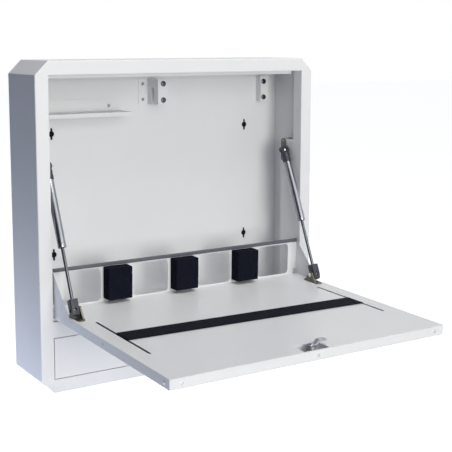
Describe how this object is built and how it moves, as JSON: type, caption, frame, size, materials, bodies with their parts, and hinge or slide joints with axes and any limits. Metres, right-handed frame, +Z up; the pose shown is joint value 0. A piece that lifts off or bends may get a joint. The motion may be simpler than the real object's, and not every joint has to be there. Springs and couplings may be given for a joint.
{
  "type": "laptop security cabinet",
  "caption": "Shallow steel wall cabinet for a laptop, with a fold-down desk front on gas struts, a cam lock, a strap, foam rests and a small drawer.",
  "frame": {"origin": "middle of the four wall keyholes on the back face", "axes": "+X to the right seen from the front, +Y into the wall, +Z up"},
  "size_m": [0.6, 0.5428, 0.6],
  "materials": {
    "black_plastic": "black moulded plastic",
    "bush_nylon": "natural nylon",
    "dark_steel": "blackened steel",
    "foam": "open black foam",
    "lock_chrome": "nickel plate",
    "paint_grey": "fine-textured light grey powder coat",
    "rod_chrome": "polished rod",
    "rubber_trim": "soft black rubber",
    "strap_web": "woven elastic",
    "strut_steel": "clear-lacquered drawn steel tube",
    "zinc_steel": "zinc-plated steel"
  },
  "bodies": {
    "cabinet": {"accessory_shelf": "paint_grey", "back_panel": "paint_grey", "cabinet_shell": "paint_grey", "compartment_floor": "paint_grey", "drawer_guide_left": "zinc_steel", "drawer_guide_right": "zinc_steel", "left_bracket_rivets": "zinc_steel", "left_bracket_screws": "dark_steel", "left_hanger_bracket": "paint_grey", "pivot_bushes": "bush_nylon", "right_bracket_screws": "dark_steel", "right_hanger_bracket": "paint_grey", "shelf_screws": "zinc_steel", "slide_supports": "zinc_steel", "strut_plate_left": "paint_grey", "strut_plate_right": "paint_grey", "strut_wall_bracket_left": "zinc_steel", "strut_wall_bracket_right": "zinc_steel", "top_stop_strip": "paint_grey", "wall_ball_studs": "zinc_steel", "wall_bracket_screws": "zinc_steel"},
    "desk": {"desk_outer_pan": "paint_grey", "desk_inner_skin": "paint_grey", "desk_stiffener": "paint_grey", "desk_edge_screws": "zinc_steel", "rear_web": "paint_grey", "web_edge_trim": "rubber_trim", "foam_block_left": "foam", "foam_block_centre": "foam", "foam_block_right": "foam", "lock_cylinder": "lock_chrome", "lock_nut": "dark_steel", "pivot_pins": "zinc_steel", "pivot_blocks": "zinc_steel", "strut_desk_bracket_left": "zinc_steel", "strut_desk_bracket_right": "zinc_steel", "desk_ball_studs": "zinc_steel", "desk_bracket_rivets": "zinc_steel"},
    "strap": {"laptop_strap": "strap_web", "strap_bars": "zinc_steel"},
    "lock": {"lock_plug": "lock_chrome", "lock_cam": "lock_chrome", "cam_screw": "zinc_steel"},
    "drawer": {"drawer_front": "paint_grey", "drawer_tray": "paint_grey", "drawer_screws": "zinc_steel", "drawer_runners": "zinc_steel"},
    "strut_rod_left": {"strut_rod_left": "rod_chrome", "strut_piston_left": "black_plastic", "strut_lower_socket_left": "black_plastic"},
    "strut_tube_left": {"strut_tube_left": "strut_steel", "strut_rod_guide_left": "black_plastic", "strut_upper_socket_left": "black_plastic"},
    "strut_rod_right": {"strut_rod_right": "rod_chrome", "strut_piston_right": "black_plastic", "strut_lower_socket_right": "black_plastic"},
    "strut_tube_right": {"strut_tube_right": "strut_steel", "strut_rod_guide_right": "black_plastic", "strut_upper_socket_right": "black_plastic"}
  },
  "joints": [
    {"name": "desk_hinge", "type": "hinge", "parent": "cabinet", "child": "desk", "pos_m": [0, -0.1165, -0.1973], "axis": [-1, 0, 0], "range_deg": [0, 91.2]},
    {"name": "strut_swing_left", "type": "hinge", "parent": "desk", "child": "strut_rod_left", "pos_m": [-0.264, -0.19198, -0.17508], "axis": [-1, 0, 0], "range_deg": [-112.66, 0]},
    {"name": "strut_stroke_left", "type": "slide", "parent": "strut_rod_left", "child": "strut_tube_left", "axis": [0, -0.4081, -0.9129], "range_m": [0, 0.07562]},
    {"name": "strut_swing_right", "type": "hinge", "parent": "desk", "child": "strut_rod_right", "pos_m": [0.264, -0.19198, -0.17508], "axis": [-1, 0, 0], "range_deg": [-112.66, 0]},
    {"name": "strut_stroke_right", "type": "slide", "parent": "strut_rod_right", "child": "strut_tube_right", "axis": [0, -0.4081, -0.9129], "range_m": [0, 0.07562]},
    {"name": "lock_turn", "type": "hinge", "parent": "desk", "child": "lock", "pos_m": [0, -0.52364, -0.19483], "axis": [0, 0.0209, -0.9998], "range_deg": [0, 90]},
    {"name": "strap_slide", "type": "slide", "parent": "desk", "child": "strap", "axis": [0, -0.9998, -0.0209], "range_m": [-0.075, 0.05]},
    {"name": "drawer_slide", "type": "slide", "parent": "cabinet", "child": "drawer", "axis": [0, -1, 0], "range_m": [0, 0.075]}
  ],
  "couplings": [
    {"joint": "strut_swing_left", "follows": "desk_hinge", "ratio": -1.2352},
    {"joint": "strut_stroke_left", "follows": "desk_hinge", "m_per_rad": 0.047502},
    {"joint": "strut_swing_right", "follows": "desk_hinge", "ratio": -1.2352},
    {"joint": "strut_stroke_right", "follows": "desk_hinge", "m_per_rad": 0.047502}
  ]
}
